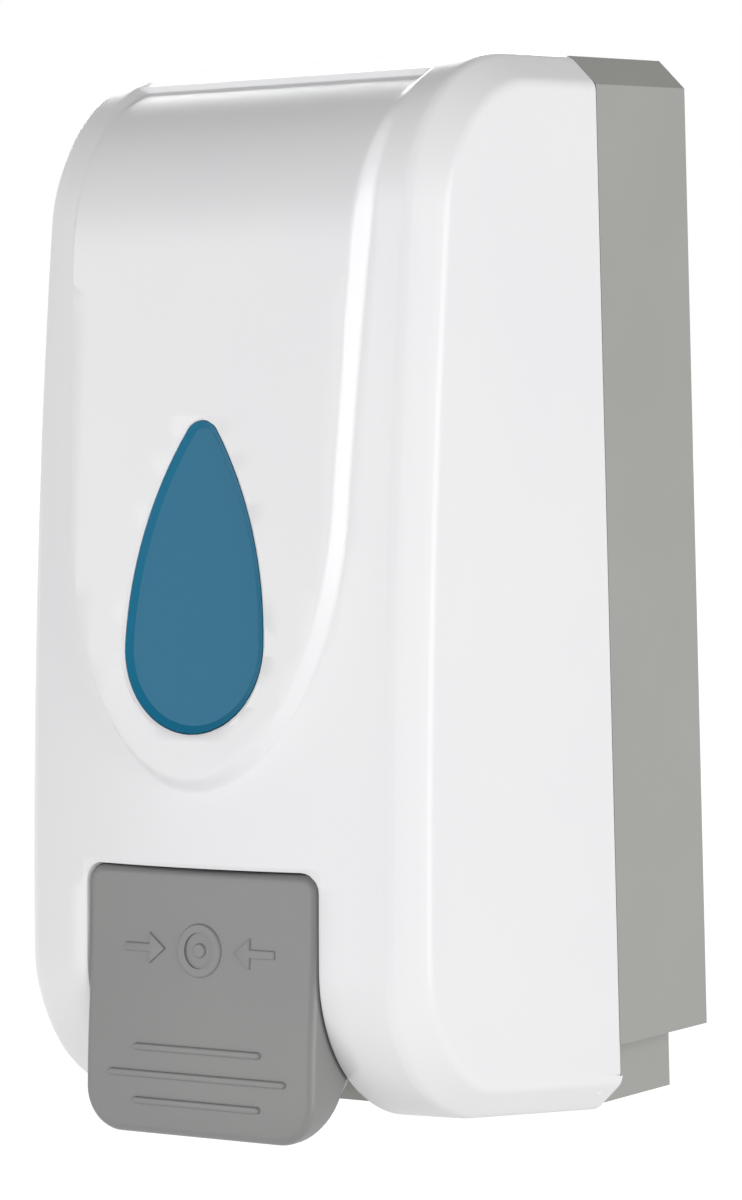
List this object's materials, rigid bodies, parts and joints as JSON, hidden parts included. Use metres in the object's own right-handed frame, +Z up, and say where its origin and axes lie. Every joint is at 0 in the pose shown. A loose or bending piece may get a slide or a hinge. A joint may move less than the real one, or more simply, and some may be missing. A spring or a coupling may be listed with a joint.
{
  "type": "wall mounted soap dispenser",
  "caption": "Wall mounted dispenser for liquid soap with a push lever, hinged cover, level window, refillable tank and plunger pump.",
  "frame": {"origin": "centre of the wall screw pattern on the wall plane, 160 mm above the bottom of the cover", "axes": "+X to the right seen from the front, +Y into the wall, +Z up"},
  "size_m": [0.116, 0.129, 0.25],
  "materials": {
    "grey_abs": "fine satin moulded grey ABS",
    "lever_abs": "fine satin moulded grey ABS",
    "white_abs": "semi-gloss moulded white ABS",
    "window_acrylic": "tinted translucent teal acrylic",
    "tank_pe": "milky blow-moulded polyethylene",
    "pump_pp": "moulded natural polypropylene",
    "seal_rubber": "moulded rubber",
    "pin_steel": "drawn stainless steel",
    "spring_steel": "stainless spring steel",
    "screw_steel": "zinc-plated steel",
    "lock_chrome": "polished chrome plate"
  },
  "bodies": {
    "root": {"rear_housing": "grey_abs", "base_block": "grey_abs", "block_screws": "screw_steel", "tank_shelf": "grey_abs", "shelf_screws": "screw_steel", "cover_hinge_pins": "pin_steel", "tank": "tank_pe", "tank_lid": "pump_pp", "lid_seal": "seal_rubber", "outlet_seal": "seal_rubber", "pump_nut": "pump_pp", "pump_body": "pump_pp", "pump_cap": "pump_pp", "inlet_valve": "seal_rubber", "pump_spring": "spring_steel", "lock_bush": "lock_chrome", "lock_nut": "screw_steel"},
    "cover": {"front_cover": "white_abs", "level_window": "window_acrylic", "lever_pin": "pin_steel", "lever_pin_clips": "spring_steel"},
    "lever": {"push_lever": "lever_abs"},
    "plunger": {"plunger": "pump_pp", "piston": "pump_pp", "piston_seal": "seal_rubber", "nozzle_tip": "pump_pp", "outlet_valve": "seal_rubber"},
    "lock": {"lock_barrel": "lock_chrome", "lock_cam": "screw_steel", "cam_screw": "screw_steel"}
  },
  "joints": [
    {"name": "cover_hinge", "type": "hinge", "parent": "root", "child": "cover", "pos_m": [0, -0.045, -0.151], "axis": [1, 0, 0], "range_deg": [0, 90]},
    {"name": "lever_hinge", "type": "hinge", "parent": "cover", "child": "lever", "pos_m": [0, -0.11, -0.103], "axis": [1, 0, 0], "range_deg": [0, 14]},
    {"name": "pump_stroke", "type": "slide", "parent": "root", "child": "plunger", "axis": [0, 0, 1], "range_m": [0, 0.0076], "stiffness_N_per_m": 700, "springref_m": -0.009, "deforming": ["pump_spring"]},
    {"name": "lock_turn", "type": "hinge", "parent": "root", "child": "lock", "pos_m": [0, -0.022, 0.08], "axis": [0, 0, 1], "range_deg": [0, 90]}
  ],
  "couplings": [
    {"joint": "pump_stroke", "follows": "lever_hinge", "m_per_rad": 0.0308}
  ]
}
